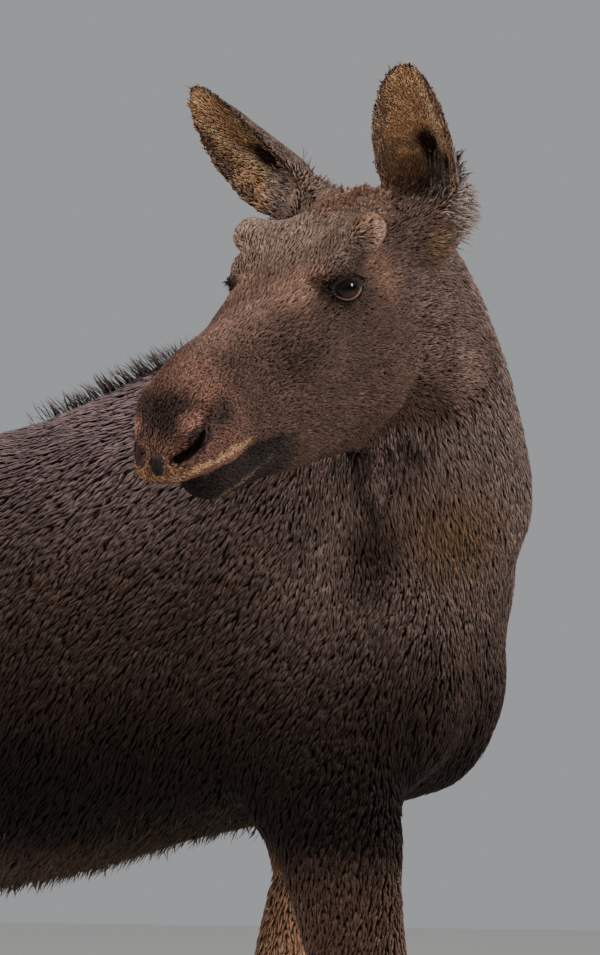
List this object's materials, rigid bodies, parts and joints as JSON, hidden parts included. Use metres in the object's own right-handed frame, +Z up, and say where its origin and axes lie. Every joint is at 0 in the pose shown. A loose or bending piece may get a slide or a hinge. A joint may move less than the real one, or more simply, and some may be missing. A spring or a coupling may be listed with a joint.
{
  "type": "moose",
  "caption": "Life-size still model of a young bull moose that stands on four hooves with its head turned back over its right side",
  "frame": {"origin": "on the floor under the middle of the bounding box", "axes": "+X the way the trunk points, +Y to the animal's left, +Z up"},
  "size_m": [1.365, 0.783, 1.7044],
  "materials": {
    "coat": "dense dark grey-brown winter fur",
    "ear": "short fur, dark behind and tan inside",
    "leg": "short brown fur, paler inside the legs",
    "eye": "wet dark brown eye",
    "hoof": "dark horn"
  },
  "bodies": {
    "root": {"antler_bud_left": "coat", "antler_bud_right": "coat", "claw_fore_left_inner": "hoof", "claw_fore_left_outer": "hoof", "claw_fore_right_inner": "hoof", "claw_fore_right_outer": "hoof", "claw_hind_left_inner": "hoof", "claw_hind_left_outer": "hoof", "claw_hind_right_inner": "hoof", "claw_hind_right_outer": "hoof", "dewclaw_fore_left_inner": "hoof", "dewclaw_fore_left_outer": "hoof", "dewclaw_fore_right_inner": "hoof", "dewclaw_fore_right_outer": "hoof", "dewclaw_hind_left_inner": "hoof", "dewclaw_hind_left_outer": "hoof", "dewclaw_hind_right_inner": "hoof", "dewclaw_hind_right_outer": "hoof", "ear_left": "ear", "ear_right": "ear", "eye_left": "eye", "eye_right": "eye", "forearm_fore_left": "leg", "forearm_fore_right": "leg", "gaskin_hind_left": "leg", "gaskin_hind_right": "leg", "head": "coat", "neck": "coat", "shank_fore_left": "leg", "shank_fore_right": "leg", "shank_hind_left": "leg", "shank_hind_right": "leg", "tail": "coat", "trunk_fore": "coat", "trunk_hind": "coat", "trunk_middle": "coat"}
  },
  "joints": []
}
